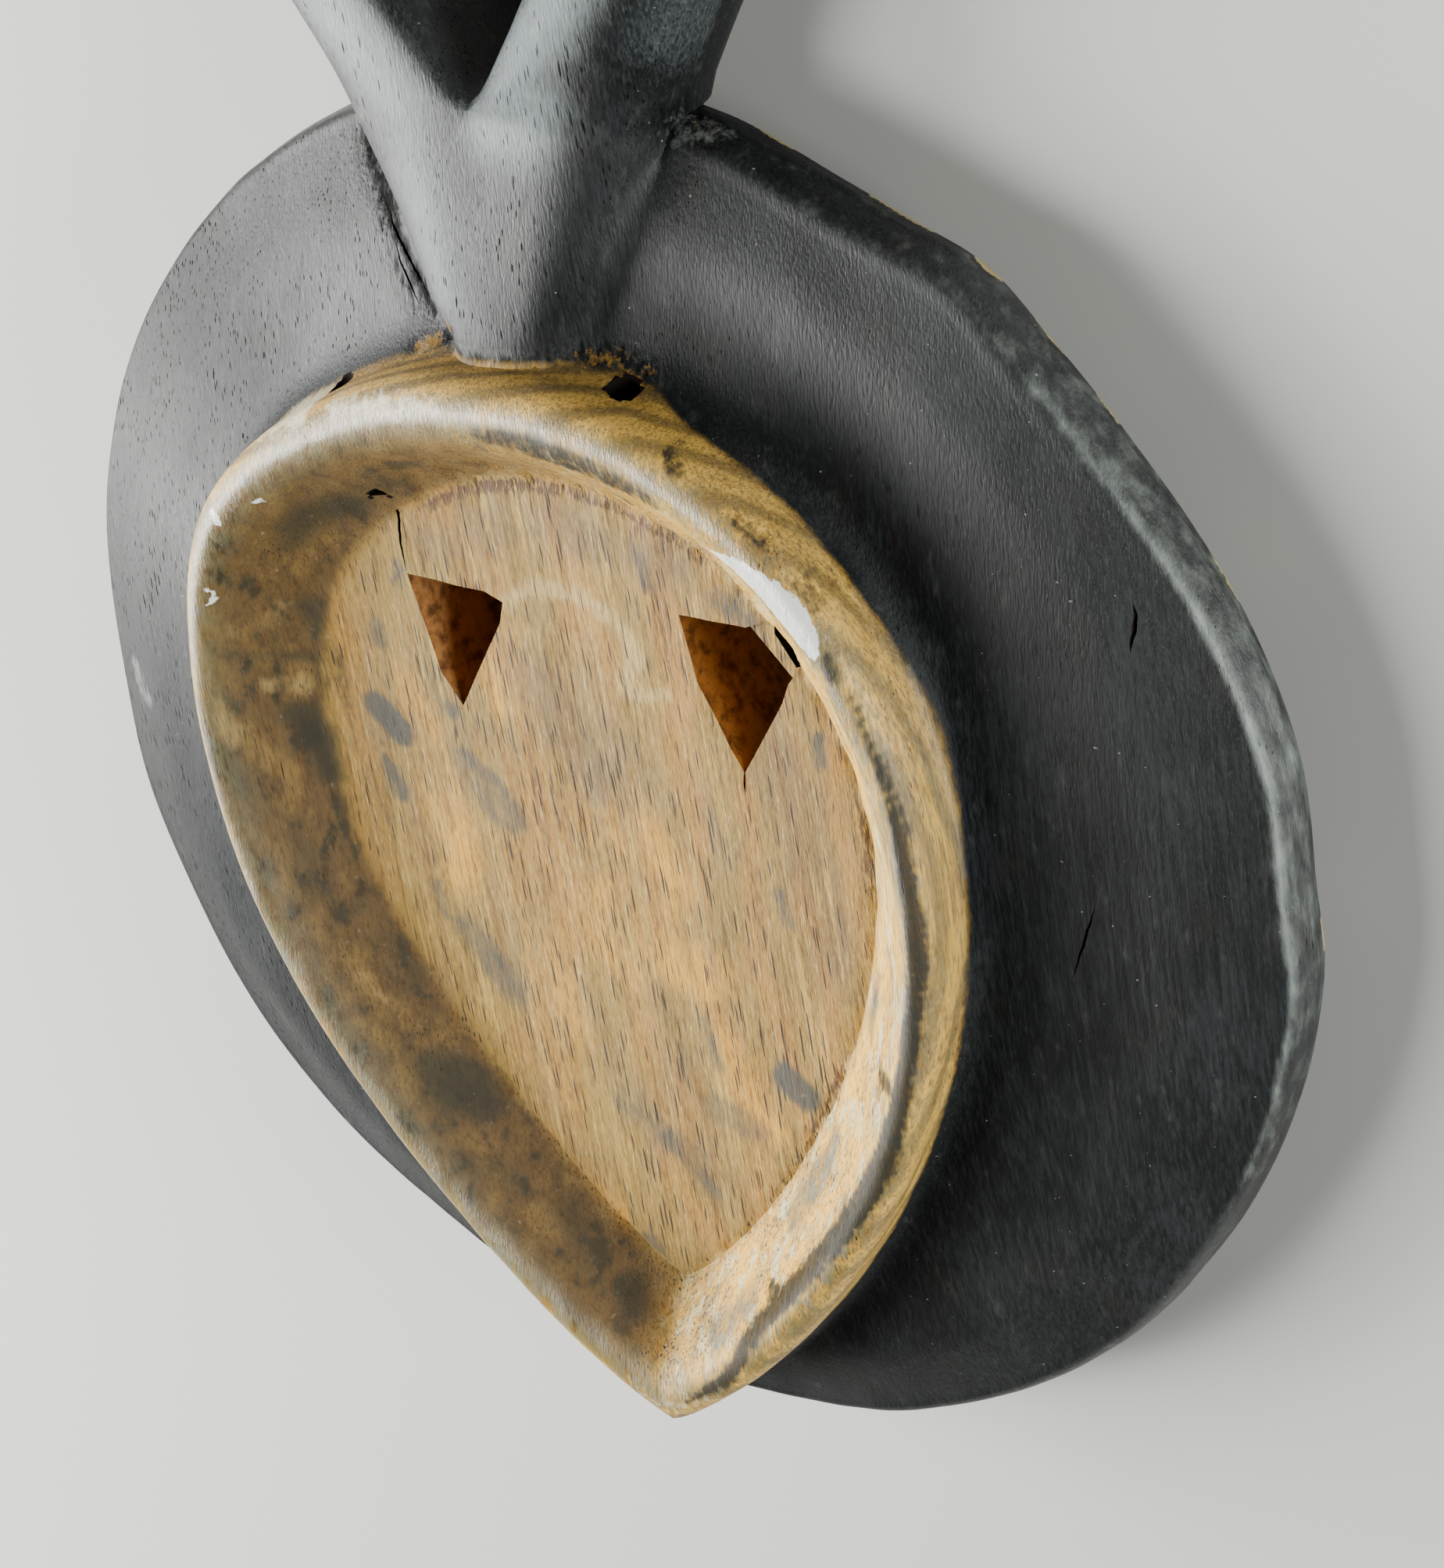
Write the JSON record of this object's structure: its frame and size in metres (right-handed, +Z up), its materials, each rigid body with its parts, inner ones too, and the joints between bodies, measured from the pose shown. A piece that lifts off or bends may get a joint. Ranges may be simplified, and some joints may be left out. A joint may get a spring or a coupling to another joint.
{
  "type": "goli mask",
  "caption": "Carved wooden disc mask with a pair of curved horns, lying face down: domed back, teardrop rim around the face hollow, triangular eye holes and a box mouth.",
  "frame": {"origin": "middle of the bounding box's underside, on the surface that the mask lies on", "axes": "+Z up out of the back of the mask, +Y towards the horn tips, +X to the right as seen from behind"},
  "size_m": [0.27, 0.438, 0.0547],
  "materials": {
    "stained_wood": "black-stained carved wood with a soft sheen outside, bare tan wood with dark stains on the rim and in the face hollow"
  },
  "bodies": {
    "root": {"mask": "stained_wood"}
  },
  "joints": []
}
